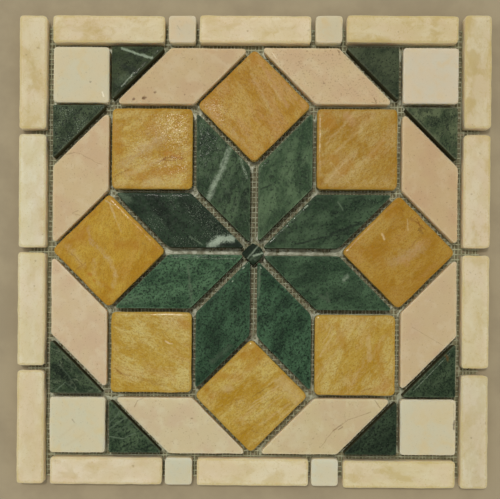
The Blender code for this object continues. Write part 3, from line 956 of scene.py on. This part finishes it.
goldSquares = {
    "nw": dict(turn=28, tone=1.088, red=0.96, pale=0.6, ochre=0.7, strokes=(
        (-80, 50, -70, 46, 6, deepGold, 0.6, 5, 0.4), (-63, 49, -46, 51, 6.5, deepGold, 0.7, 5, 0.4),
        (-85, 53.5, -58, 70.5, 6, greyGold, 0.5, 6, 0.4), (-56, 61, -47, 59, 3, rustyGold, 0.6, 3, 0.5),
        (-62.4, 55.1, -56.1, 58.6, 1.3, brownCrack, 0.8, 3, 0.7),
        (-56.1, 58.6, -45.3, 58.4, 1.3, brownCrack, 0.7, 3.5, 0.7),
        (-57, 57.4, -50, 56.6, 1, brownCrack, 0.6, 3, 0.7),
        (-87.6, 46.7, -77.5, 52.5, 1, brownCrack, 0.5, 2, 0.5),
        (-60, 56.6, -47, 61.5, 0.6, brownCrack, 0.45, 2, 0.5),
        (-80, 47.5, -60, 57.5, 3, paleGold, 0.5, 4, 0.5),
        (-69, 41.5, -60.5, 43.5, 5, paleGold, 0.45, 3, 0.3), (-87.5, 74, -86, 62, 6, deepGold, 0.6, 4, 0.3),
        (-68, 79.5, -62, 77.5, 5, deepGold, 0.4, 4, 0.3), (-74, 64, -58, 72, 2.5, paleGold, 0.35, 5, 0.6),
    )),
    "ne": dict(turn=45, tone=0.954, red=0.98, warmth=-0.06, shine=0.3, pale=0.55, ochre=0.8, strokes=(
        (46, 83, 47.5, 81.5, 10, deepGold, 0.75, 4, 0.2),
        (57.4, 86.3, 61, 82.5, 5.5, rosyGold, 0.55, 3, 0.3), (45, 68, 63, 88, 1.6, paleGold, 0.4, 4, 0.5),
        (52, 64, 76, 86, 2, paleGold, 0.4, 4, 0.5), (45, 44, 58, 58, 1.3, paleGold, 0.55, 3, 0.4),
        (48, 56, 60, 43, 1, paleGold, 0.45, 3, 0.4), (62, 50, 82, 71, 1.8, paleGold, 0.4, 4, 0.5),
        (56, 50, 61, 56, 5, deepGold, 0.5, 4, 0.3), (49.4, 60, 51, 56, 4.5, deepGold, 0.45, 3, 0.3),
        (73, 60, 80, 68, 4.5, deepGold, 0.45, 4, 0.3),
    )),
    "sw": dict(turn=-20, tone=1.236, red=0.893, warmth=-0.07, shine=0.5, net=0.15, pale=0.62, ochre=0.45,
               mottle=0.45, strokes=(
        (-55.6, -57.3, -53.2, -58.6, 0.9, paleScratch, 0.8, 0.5, 0.1),
        (-53.2, -58.6, -51.2, -58.9, 0.7, paleScratch, 0.7, 0.5, 0.1),
        (-46, -44.5, -42.5, -47.5, 4.5, deepGold, 0.45, 3, 0.3),
        (-70, -81, -56, -85, 3.5, brownCrack, 0.3, 5, 0.7),
        (-87, -75, -83, -78, 1, brownCrack, 0.6, 1.5, 0.3),
        (-83, -78, -78, -79.5, 0.8, brownCrack, 0.5, 1.5, 0.3),
    )),
    "se": dict(turn=55, tone=1.206, red=0.9, warmth=-0.08, pale=0.5, ochre=0.7, strokes=(
        (72.4, -54, 73.7, -68, 2.6, paleGold, 0.55, 2.5, 0.4), (42.1, -66, 50.2, -52, 1.4, paleGold, 0.6),
        (44, -58, 50, -47, 1.1, paleGold, 0.5), (44, -75, 56, -58, 1.3, paleGold, 0.4, 3, 0.5),
        (52, -46, 57, -60, 4.5, deepGold, 0.4, 4, 0.4), (76, -88, 84, -84, 5, amberGold, 0.5, 3, 0.3),
        (78, -60, 82, -80, 5, deepGold, 0.45, 4, 0.4), (68, -88.5, 74, -86, 0.7, brownCrack, 0.5, 1.5, 0.3),
        (62, -84, 70, -70, 1.8, paleGold, 0.4, 3, 0.5),
    )),
}

goldDiamonds = {
    "n": dict(turn=-55, tone=1.003, warmth=0.02, pale=0.45, ochre=0.7, rose=0.6, strokes=(
        (4, 118, 20, 92, 2.6, rosyGold, 0.55, 4, 0.4), (12, 114, 26, 96, 2, rosyGold, 0.5, 4, 0.4),
        (-2, 112, 10, 88, 2, paleGold, 0.4, 4, 0.5), (8, 108, 16, 96, 1, paleGold, 0.5, 3, 0.5),
        (-1, 124, -1, 119, 5, deepGold, 0.7, 2, 0.2), (-26, 94, -14, 100, 5, deepGold, 0.4, 5, 0.4),
        (-15, 76.5, -2, 63, 3, paleGold, 0.35, 2, 0.8),
    )),
    "w": dict(turn=70, tone=1.078, red=1, warmth=0.28, pale=0.28, ochre=0.8, strokes=(
        (-91.2, 29, -88, 20.8, 1.3, paleGold, 0.7, 1.5, 0.3),
        (-88, 20.8, -84, 12, 1, paleGold, 0.4, 2, 0.5), (-94, 31, -89.5, 28.5, 1.2, paleGold, 0.7, 1, 0.3),
        (-118, 2, -108, -10, 4, paleGold, 0.4, 4, 0.6),
        (-104.5, 14.1, -103.2, 6, 2.6, greyGold, 0.6, 5, 0.7),
        (-103.2, 6, -91.8, -5.2, 3, greyGold, 0.6, 5, 0.7),
        (-91.8, -5.2, -87.4, -14.8, 3.4, paleGold, 0.45, 5, 0.6),
        (-87.4, -14.8, -88.9, -23, 2.2, paleGold, 0.45, 5, 0.6),
        (-100.7, -5.9, -101.5, -14.8, 2.4, paleGold, 0.35, 5, 0.7),
        (-101.5, -14.8, -96.3, -23, 2.6, paleGold, 0.35, 5, 0.7),
        (-104.4, -15, -103, -16, 1.8, rustyGold, 0.8, 0.5, 0.2),
        (-101.2, -19, -100.2, -19.8, 1.2, rustyGold, 0.8, 0.5, 0.2),
        (-117, -1, -109, -9, 0.7, brownCrack, 0.5, 3, 0.5), (-86, 3, -75, 3, 6, deepGold, 0.7, 3, 0.3),
        (-110, 7, -104, 8, 5, deepGold, 0.6, 3, 0.3), (-116, 6, -104, 14, 4, honeyGold, 0.5, 4, 0.4),
        (-96, -20, -90, -26, 3, deepGold, 0.5, 4, 0.3), (-112, -12, -106, -8, 1, brownCrack, 0.4, 3, 0.5),
    )),
    "s": dict(turn=38, tone=1.225, red=0.9, warmth=-0.03, pale=0.45, ochre=0.8, strokes=(
        (-3, -100, 14, -88, 0.9, paleGold, 0.65), (0, -96, 16, -85, 0.8, paleGold, 0.6),
        (2, -104, 20, -90, 1.1, paleGold, 0.5, 2.5, 0.5), (4, -110, 24, -96, 1.3, paleGold, 0.45, 2.5, 0.5),
        (-8, -106, 4, -97, 1.2, paleGold, 0.45, 2.5, 0.5), (10, -84, 22, -78, 1, paleGold, 0.5, 2, 0.5),
        (18, -82, 28, -94, 8, paleGold, 0.5, 5, 0.4), (-17, -87, -13.5, -87, 4, paleGold, 0.5, 1.5, 0.2),
        (-6, -66, 4, -61, 6, deepGold, 0.6, 3, 0.3), (-25, -79, -8, -80, 5, deepGold, 0.5, 4, 0.4),
        (0, -92, 12, -84, 0.7, umber, 0.5, 4, 0.6), (4, -98, 16, -90, 0.6, umber, 0.45, 4, 0.6),
        (-4, -74, 6, -66, 5, deepGold, 0.5, 4, 0.3), (20, -100, 30, -94, 3, brownCrack, 0.25, 4, 0.9),
        (-26, -92, -30, -86, 4, deepGold, 0.45, 3, 0.3),
    )),
    "e": dict(turn=35, tone=0.95, red=1.01, warmth=0.06, shine=0.6, net=0.15, pale=0.22, ochre=0.8,
              strokes=(
        (80.8, 11.3, 82.2, 7.9, 1.2, goldScratch, 0.8, 0.8, 0.2),
        (101.5, 19.5, 108.5, 14.5, 0.8, brownCrack, 0.6, 2.5, 0.3),
        (103, 21, 105.5, 14, 0.8, brownCrack, 0.7), (104.2, 14.6, 106.4, 12.4, 2, umber, 0.6, 2, 0.6),
        (99.5, 21.5, 106.2, 16.3, 3, brownCrack, 0.5, 3.5, 0.9),
        (90.4, 28.5, 94.3, 26.2, 2, brownCrack, 0.5, 2.5, 0.8),
        (96.9, 20.7, 96.9, 14.1, 0.9, paleGold, 0.6, 1.5, 0.3),
        (105.4, 10.4, 94.3, -2.2, 0.7, brownCrack, 0.6, 3, 0.6), (88, -6, 104, 2, 7, greyGold, 0.5, 6, 0.5),
        (92, -5, 97, -8, 3.5, rosyGold, 0.4, 3, 0.5), (96, -6, 106, 6, 3, rosyGold, 0.3, 4, 0.5),
        (74, 2, 82, -8, 4, deepGold, 0.3, 4, 0.4), (84, 22, 90, 27, 4, deepGold, 0.35, 4, 0.3),
    )),
}

pinkRhombi = {
    "nne": dict(turn=0, tone=1.03, specks=0.42, pores=0.4, pits=((52.5, 126.5, 0.7),), strokes=(
        (75, 97.3, 76.6, 93.8, 0.8, poreBrown, 0.8, 1, 0.1),
        (73.6, 94.6, 76.8, 93.6, 0.6, poreBrown, 0.6, 1, 0.1),
        # the pale stroke below is a painted highlight, a small spot of reflected light
        (10.6, 125.2, 13, 121.8, 0.9, paintedGlossSpot, 0.8, 0.5, 0.1),
        (52, 127.5, 53.4, 124, 0.7, poreBrown, 0.5, 1, 0.3),
    )),
    "nnw": dict(turn=0, tone=0.95, warmth=0.02, pores=0.25, pits=((-70.5, 96.2, 1.2), (-69.4, 96.6, 0.9),
                (-76.8, 95.4, 0.9), (-63.3, 100, 0.8), (-66.8, 94.3, 0.6))),
    "wnw": dict(turn=90, tone=1.02, strokes=(
        (-121, 60.6, -113.6, 61.7, 0.6, poreBrown, 0.5, 3, 0.4),
        (-113.6, 61.7, -96.5, 54, 0.5, poreBrown, 0.45, 3, 0.5),
        (-114.8, 23.2, -111.5, 24.8, 0.6, poreBrown, 0.5, 1, 0.3),
        (-114.8, 22.8, -111.2, 22, 0.5, poreBrown, 0.45, 1, 0.3),
    )),
    "wsw": dict(turn=90, tone=1.092, red=0.98, warmth=-0.05, pores=0.2, strokes=(
        (-108, -14, -104.5, -12, 0.5, poreBrown, 0.45, 1, 0.3),
    )),
    "ssw": dict(turn=20, tone=1.166, red=0.92, warmth=-0.05, pores=0.05, strokes=(
        (-74.8, -99, -73, -95, 0.6, poreBrown, 0.55, 0.8, 0.2),
        (-73, -95, -69.5, -93.6, 0.5, poreBrown, 0.5, 0.8, 0.2),
    )),
    "sse": dict(turn=35, tone=1.102, red=0.931, warmth=-0.01, pores=0.05, strokes=(
        (42.6, -124.1, 50.7, -113.3, 0.5, poreBrown, 0.45, 1.5, 0.3),
        (50.7, -113.3, 55.7, -109.6, 0.7, poreBrown, 0.7, 1, 0.2),
        (54, -112.5, 56.5, -110.8, 0.9, poreBrown, 0.7, 0.8, 0.2),
        (55.7, -109.6, 60.1, -106.3, 0.5, poreBrown, 0.55, 1.5, 0.3),
        (60.1, -106.3, 74.6, -101.1, 0.5, poreBrown, 0.5, 1.5, 0.3),
        (77, -93.5, 80.3, -98.6, 0.6, poreBrown, 0.55, 1.5, 0.2),
    )),
    "ese": dict(turn=45, tone=1.009, red=1, warmth=-0.02, pores=0.08, strokes=(
        (100.1, -47.3, 119.8, -58.8, 0.4, poreBrown, 0.4, 0.8, 0.3),
    )),
    "ene": dict(turn=90, tone=0.927, red=1.051, warmth=0.03, pores=0.15),
}

ivoryCorners = {
    "ne": dict(turn=0, tone=0.99, red=1.01, warmth=-0.04),
    "nw": dict(turn=40, tone=0.979, red=0.99, warmth=0.01, pits=((-104, 106, 0.6),), strokes=(
        # this stroke is a painted highlight: a tiny bright spot for a sparkle of light
        (-96.6, 99.6, -95.8, 97, 0.9, paintedSparkle, 0.8, 0.5, 0.1),
    )),
    "sw": dict(turn=40, tone=1.04, red=0.965, strokes=(
        (-122, -119, -112, -110, 1.6, olive, 0.14), (-118, -124, -106, -116, 1.6, olive, 0.14),
        (-114, -107, -112.6, -109, 0.7, greyCrack, 0.6, 0.8, 0.3),
    )),
    "se": dict(turn=70, tone=1.02, red=0.98, strokes=(
        (127.3, -106.5, 127, -111.5, 1.1, blackCrack, 0.85, 0.8, 0.3),
        (126.8, -96, 127, -106, 0.4, greyCrack, 0.6, 0.6, 0.3),
    )),
}

borderSquares = {
    "top_1": dict(turn=0, tone=0.93, red=1.045, warmth=0.015, strokes=(
        (-49.5, 142, -48, 139.5, 0.6, paleCrack, 0.5, 1, 0.3),
    )),
    "top_2": dict(turn=50, tone=0.94, warmth=0.025),
    "bottom_1": dict(turn=20, tone=1.04, red=0.93, warmth=-0.037),
    "bottom_2": dict(turn=80, tone=1.07, red=0.935, warmth=-0.044),
}

borderBricks = {
    "top_1": dict(turn=0, tone=0.96, warmth=0.02, stain=0.55, strokes=(
        (-104, 144, -98, 134, 7, olive, 0.45, 8, 0.5), (-80, 146, -70, 144, 4, olive, 0.35, 4, 0.5),
    )),
    "top_2": dict(turn=5, tone=0.99, red=1.03, stain=0.4),
    "top_3": dict(turn=-5, tone=0.902, red=1.04, warmth=0.06, stain=0.6),
    "bottom_1": dict(turn=0, tone=1.02, red=1.01, warmth=-0.03, stain=0.3, strokes=(
        (-126, -132, -122, -134, 4, olive, 0.35, 3, 0.5),
    )),
    "bottom_2": dict(turn=10, tone=1.03, stain=0.4),
    "bottom_3": dict(turn=-8, red=1, warmth=0.03, stain=0.45),
    "left_1": dict(turn=90, tone=0.96, warmth=0.01, stain=0.45, pits=((-137.4, 127.2, 0.7),), strokes=(
        (-140, 114, -134, 102, 8, olive, 0.35, 6, 0.5),
    )),
    "left_2": dict(turn=85, tone=1.055, warmth=-0.045, stain=0.25, pits=((-142, 14.5, 0.5),), strokes=(
        (-134.2, 24.9, -133.5, 20, 4, olive, 0.4, 3, 0.3),
        (-134.1, 13.5, -133.5, 11, 4, olive, 0.45, 3, 0.3),
    )),
    "left_3": dict(turn=95, tone=1.03, warmth=-0.02, stain=0.3),
    "left_4": dict(turn=90, stain=0.3),
    "right_1": dict(turn=90, tone=0.911, warmth=0.02, stain=0.6, pits=((146.5, 146.5, 0.6),)),
    "right_2": dict(turn=88, tone=0.951, red=1.02, stain=0.45),
    "right_3": dict(turn=92, tone=0.98, stain=0.4),
    "right_4": dict(turn=90, tone=0.97, warmth=-0.02, stain=0.35, pits=((137.9, -117.1, 0.7),)),
}

stonePlan = (
    # tiles, how their names start, finish, slot and stone
    (starPoints, "star_point", "green", "green_marble", greenStone),
    (greenTriangles, "green_triangle", "green", "green_marble", greenStone),
    (goldSquares, "gold_square", "gold", "gold_marble", goldStone),
    (goldDiamonds, "gold_diamond", "gold", "gold_marble", goldStone),
    (pinkRhombi, "pink_rhombus", "pink", "rosy_marble", rosyStone),
    (ivoryCorners, "ivory_corner", "ivory", "ivory_marble", ivoryStone),
    (borderSquares, "border_square", "ivory", "ivory_marble", ivoryStone),
    (borderBricks, "border_brick", "cream", "cream_marble", creamStone),
)


def camelCase(nodeName):
    first, *others = nodeName.split("_")
    return first + "".join(word.capitalize() for word in others)


def layTiles():
    seed = 0
    for tiles, start, finish, slot, kind in stonePlan:
        for place, marks in tiles.items():
            seed += 1
            nodeName = f"{start}_{place}"
            pieceName = camelCase(nodeName)
            piece = makeTile(nodeName, pieceName, tileFinish[finish], marks, seed)
            settle(piece, nodeName, makeStone(f"{pieceName}Stone", nodeName, kind, marks, seed))
        print(f"tiles laid so far: {seed}, the last ones of {slot}")


# The centre chip

centreChip = {
    "cuts": 5,
    "rough": 0.22 * mm,
    "lumps": ((0.7, 1.0), (1.9, 0.5)),     # waves per millimetre and their share of the roughness
    "soilAndShadingUp": 1.2,
    "flat": math.radians(3),       # faces that bend less than this are one face of the solid
    "sharp": math.radians(35),
    "wallBelow": 0.5,              # where the normal points up less than this is wall, then worn arris
    "rimBelow": 0.9,
    "seed": 90,
    "marks": dict(turn=30, tone=0.52, strokes=(
        (-7.5, -1.5, -0.5, 4.5, 5.5, darkVein, 0.85, 0.8, 0.15),
        (-4, -4.6, 2.2, 2.8, 0.9, whiteVein, 0.6, 0.8, 0.3),
        (-0.2, -2.9, 5.7, -1.3, 1.2, whiteVein, 0.95, 0.8, 0.1),
        (-2.6, -5.6, 0.6, -3.6, 1.6, paleVein, 0.6, 1, 0.5),
        # the next stroke darkens the chip's low southern tongue: painted shadow
        (-2.4, -9, 0.8, -9, 3.5, darkVein, 0.9, 0.5, 0.1),
    )),
}


def makeChip():
    shape = solidCopy("centre_chip")
    bmesh.ops.dissolve_limit(
        shape, angle_limit=centreChip["flat"], verts=shape.verts[:], edges=shape.edges[:],
    )
    bmesh.ops.triangulate(shape, faces=shape.faces[:])
    bmesh.ops.subdivide_edges(shape, edges=shape.edges[:], cuts=centreChip["cuts"], use_grid_fill=True)
    rim, wall = (shape.verts.layers.float.new(name) for name in ("rim", "wall"))
    low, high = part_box("centre_chip")
    shape.normal_update()
    for vertex in shape.verts:
        point = vertex.co / mm
        lumps = sum(noise.noise(point * scale) * share for scale, share in centreChip["lumps"])
        vertex.co += vertex.normal * lumps * centreChip["rough"]
        if vertex.normal.z < centreChip["wallBelow"]:
            depth = (high.z - vertex.co.z) / (high.z - low.z)
            vertex[wall] = min(1.0, centreChip["soilAndShadingUp"] * depth)
        elif vertex.normal.z < centreChip["rimBelow"]:
            vertex[rim] = 1.0
    piece = savePiece(shape, "centreChip")
    piece.data.set_sharp_from_angle(angle=centreChip["sharp"])
    marks, seed = centreChip["marks"], centreChip["seed"]
    stone = makeStone("centreChipStone", "centre_chip", greenStone, marks, seed)
    settle(piece, "centre_chip", stone)
    print("centre chip made")


# The backing: a woven glass mesh in two layers of strands, the glue that holds the tiles on it, and painted
# shade

soiledPatches = dict(Low=0.38, High=0.68, Warp=3.0)


def backingFinish(name, look):
    material, shader, where = newMaterial(name)
    point = vectorMaths("SCALE", where, 1.0 / mm)
    soil = useGroup("stoneClouds", Vector=point, Scale=look["patches"], **soiledPatches)
    colour = blendColour(soil, (*look["clean"], 1.0), (*look["soiled"], 1.0))
    feed(shader["Base Color"], colour)
    feed(shader["Roughness"], ramp(soil, 0.0, 1.0, *look["roughness"]))
    feed(shader["Normal"], relief(noiseOf(point, look["bumpScale"])[0], look["bump"]))
    return material


weave = {
    # strands that run from left to right
    "across": {"pitch": 3.25 * mm, "phase": -0.85 * mm, "parts": 1, "thick": (0.66 * mm, 0.18 * mm)},
    "along": {                     # strands that run up the panel, a thick one in every four
        "pitch": 9.0 * mm, "phase": 0.5 * mm, "parts": 4,
        "thick": (0.62 * mm, 0.16 * mm), "thin": (0.34 * mm, 0.12 * mm),
    },
    "clear": 0.03 * mm,            # under the lower layer
    "margin": 0.6 * mm,            # the strands' ends stay this far inside the sheet
    "lean": 0.013,
    "sway": 0.35 * mm,
    "swayScale": 0.045,
    "swayApart": (1.7, 0.3),       # how far apart two strands lie in the noise, and its level
    "segments": 12,
    "look": {
        "clean": (0.63, 0.67, 0.48), "soiled": (0.38, 0.39, 0.25), "patches": 0.2,
        "roughness": (0.35, 0.55), "bump": 0.05, "bumpScale": 4.0,
    },
}


def addStrand(shape, start, end, size, seed):
    # a flat strand of a few slices that sways a little
    along = end - start
    place = Matrix.Translation((start + end) / 2) @ Matrix.Rotation(math.atan2(along.y, along.x), 4, "Z")
    place = place @ Matrix.Diagonal((along.length, *size, 1.0))
    before = len(shape.verts)
    made = bmesh.ops.create_cube(shape, size=1.0, matrix=place)["verts"]
    long = {edge for vertex in made for edge in vertex.link_edges if edge.calc_length() > along.length / 2}
    bmesh.ops.subdivide_edges(shape, edges=list(long), cuts=weave["segments"])
    shape.verts.ensure_lookup_table()
    direction = along.normalized()
    side = Vector((-direction.y, direction.x, 0.0))
    apart, level = weave["swayApart"]
    for vertex in shape.verts[before:]:
        point = vertex.co.dot(direction) / mm * weave["swayScale"]
        vertex.co += side * noise.noise(Vector((point, seed * apart, level))) * weave["sway"]


def strandPlaces(layer, reach):
    # where a layer's strands lie, and their width and height
    step = layer["pitch"] / layer["parts"]
    count = math.floor(reach / step)
    for index in range(-count, count + 1):
        place = layer["phase"] + index * step
        if abs(place) < reach:
            yield place, layer["thin" if index % layer["parts"] else "thick"]


def makeWeave():
    low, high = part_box("backing_mesh")
    shape = bmesh.new()
    across, along = weave["across"], weave["along"]
    lower = low.z + weave["clear"] + along["thick"][1] / 2
    upper = lower + (along["thick"][1] + across["thick"][1]) / 2
    half = (high.x - low.x) / 2 - weave["margin"]
    seed = 0
    for y, size in strandPlaces(across, half):
        seed += 1
        addStrand(shape, Vector((-half, y, upper)), Vector((half, y, upper)), size, seed)
    lean = weave["lean"] * half
    for x, size in strandPlaces(along, half - lean):
        seed += 1
        addStrand(shape, Vector((x - lean, -half, lower)), Vector((x + lean, half, lower)), size, seed)
    piece = savePiece(shape, "backingWeave")
    settle(piece, "backing_mesh", backingFinish("glassStrands", weave["look"]))
    print("weave made, strands:", seed)


def makeFilm(spec, height, isOpen):
    # a thin sheet of small cells, without those where isOpen says so
    low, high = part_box("backing_mesh")
    half = (high.x - low.x) / 2 - spec["margin"]
    count = round(2 * half / spec["cell"])
    shape = bmesh.new()
    place = Matrix.Translation((0.0, 0.0, height))
    bmesh.ops.create_grid(shape, x_segments=count, y_segments=count, size=half, matrix=place)
    empty = [face for face in shape.faces if isOpen(face.calc_center_median())]
    bmesh.ops.delete(shape, geom=empty, context="FACES")
    for _ in range(spec["rounds"]):
        bmesh.ops.smooth_vert(shape, verts=rimOf(shape), factor=0.5, use_axis_x=True, use_axis_y=True)
    for vertex in shape.verts:
        vertex.co.z += noise.noise(vertex.co / mm * spec["lumpScale"]) * spec["lump"]
    bmesh.ops.solidify(shape, geom=shape.faces[:], thickness=spec["film"])
    return shape


glue = {
    "cell": 1.05 * mm,
    "margin": 0.6 * mm,
    "rounds": 2,                   # rounds of smoothing of its outline
    "film": 0.12 * mm,
    "under": 0.16 * mm,            # the film lies this far under the tiles
    "cover": 0.4,                  # more than this is filled
    "patches": (0.1, 0.35),        # waves per millimetre, and how much they add
    "blobs": (0.5, 0.7),
    "blobShift": Vector((9, 4, 1)),
    "atCorners": 0.9,
    "cornerReach": 4.2 * mm,       # more glue this far round the tiles' corners
    "starJoint": 2.6 * mm,         # half the width of the glued joints of the star
    "starLength": (8 * mm, 58 * mm),
    "inLevel": 0.74,               # in the star's level joints, and in its slanting ones
    "inSlanting": 0.14,
    "litSide": Vector((0.38, -0.92, 0.0)),   # more glue on this side of the star's joints, the side the lamp lights: painted light
    "litGain": 0.2,
    "lump": 0.1 * mm,
    "lumpScale": 0.4,
    "look": {
        "clean": (0.53, 0.565, 0.42), "soiled": (0.27, 0.27, 0.17), "patches": 0.28,
        "roughness": (0.3, 0.55), "bump": 0.15, "bumpScale": 1.2,
    },
}


def jointGlue(point):
    # the star's joints, but for the two upright ones, are smeared with glue, most of it on their lit side:
    # glue partly, painted light partly
    distance = point.xy.length
    nearest, farthest = glue["starLength"]
    if not nearest < distance < farthest or abs(point.x) < glue["starJoint"]:
        return 0.0
    eighth = math.pi / 4
    angle = eighth * round(math.atan2(point.y, point.x) / eighth)
    joint = Vector((math.cos(angle), math.sin(angle), 0.0))
    flat = Vector((point.x, point.y, 0.0))
    side = flat - joint * flat.dot(joint)
    if side.length > glue["starJoint"]:
        return 0.0
    amount = glue["inLevel"] if abs(joint.y) < 0.5 else glue["inSlanting"]
    return amount + glue["litGain"] * side.dot(glue["litSide"]) / mm


def makeGlue():
    tiles = [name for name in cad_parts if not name.startswith(("border", "backing", "centre"))]
    corners = [corner for name in tiles for corner in flatTop(name)[0]]
    tree = kdtree.KDTree(len(corners))
    for index, corner in enumerate(corners):
        tree.insert((corner.x, corner.y, 0.0), index)
    tree.balance()
    patches, patchGain = glue["patches"]
    blobs, blobGain = glue["blobs"]

    def isOpen(middle):
        point = middle / mm
        amount = noise.noise(point * patches) * patchGain
        amount += noise.noise(point * blobs + glue["blobShift"]) * blobGain
        near = tree.find((middle.x, middle.y, 0.0))[2]
        amount += glue["atCorners"] * max(0.0, 1.0 - near / glue["cornerReach"])
        amount += jointGlue(middle)
        return amount < glue["cover"]

    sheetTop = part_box("backing_mesh")[1].z
    shape = makeFilm(glue, sheetTop - glue["under"], isOpen)
    bmesh.ops.recalc_face_normals(shape, faces=shape.faces[:])
    piece = savePiece(shape, "glueFilm")
    settle(piece, "backing_mesh", backingFinish("driedGlue", glue["look"]))
    print("glue film made, faces:", len(piece.data.polygons))


jointShade = {
    "cell": 1.25 * mm,
    "film": 0.02 * mm,
    "above": 0.04 * mm,
    "overlap": 1.0 * mm,           # how far it reaches under the tiles
    "holeScale": 0.45,
    "hole": 0.28,
    "margin": 2.0 * mm,            # how far it stays from the sheet's edge
    "rounds": 0,
    "lump": 0.01 * mm,
    "lumpScale": 0.9,
    # both its colours are dark browns: painted shade
    "look": {
        "clean": (0.25, 0.235, 0.13), "soiled": (0.125, 0.112, 0.055), "patches": 0.35,
        "roughness": (0.6, 0.8), "bump": 0.1, "bumpScale": 1.5,
    },
}


def makeJointShade():
    # a dark brown sheet at the bottom of the joints, between the strands: painted shade of the deep joints
    outlines = []
    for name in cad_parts:
        if name != "backing_mesh":
            corners, middle, arris = flatTop(name)
            reach = max((corner - middle).length for corner in corners)
            outlines.append((middle, reach, sidesOf(corners), jointShade["overlap"] - arris))

    def isOpen(spot):
        if noise.noise(spot / mm * jointShade["holeScale"]) > jointShade["hole"]:
            return True
        return any(
            (spot.xy - middle.xy).length < reach and depthInside(spot, sides) > overlap
            for middle, reach, sides, overlap in outlines
        )

    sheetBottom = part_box("backing_mesh")[0].z
    shape = makeFilm(jointShade, sheetBottom + jointShade["above"], isOpen)
    piece = savePiece(shape, "paintedJointShade")
    settle(piece, "backing_mesh", backingFinish("paintedShadeBrown", jointShade["look"]))
    print("residue made, faces:", len(piece.data.polygons))


# Floor

floor = {
    "size": 5.0,
    "below": 0.2 * mm,
    "colour": (0.37, 0.32, 0.22, 1.0),
    "fleck": (0.32, 0.275, 0.19, 1.0),
    "fleckScale": 30.0,            # flecks per metre
    "fleckDetail": (4.0, 0.6),
    "fleckEdge": (0.35, 0.65),
    "roughness": 0.85,
    "gloss": 0.2,
}


def makeFloor():
    shape = bmesh.new()
    place = Matrix.Translation((0.0, 0.0, cadBox[0].z - floor["below"]))
    bmesh.ops.create_grid(shape, x_segments=1, y_segments=1, size=floor["size"] / 2, matrix=place)
    piece = savePiece(shape, "floor")
    material, shader, where = newMaterial("paleFloor")
    flecks = noiseOf(where, floor["fleckScale"], *floor["fleckDetail"])[0]
    clouds = ramp(flecks, *floor["fleckEdge"])
    feed(shader["Base Color"], blendColour(clouds, floor["colour"], floor["fleck"]))
    feed(shader["Roughness"], floor["roughness"])
    feed(shader["Specular IOR Level"], floor["gloss"])
    piece.data.materials.append(material)


makeCamera()
makeStudio()
makeFloor()
print("camera, lights and floor made")
makeEffects()
print("shared effects made")
layTiles()
makeChip()
makeWeave()
makeGlue()
makeJointShade()
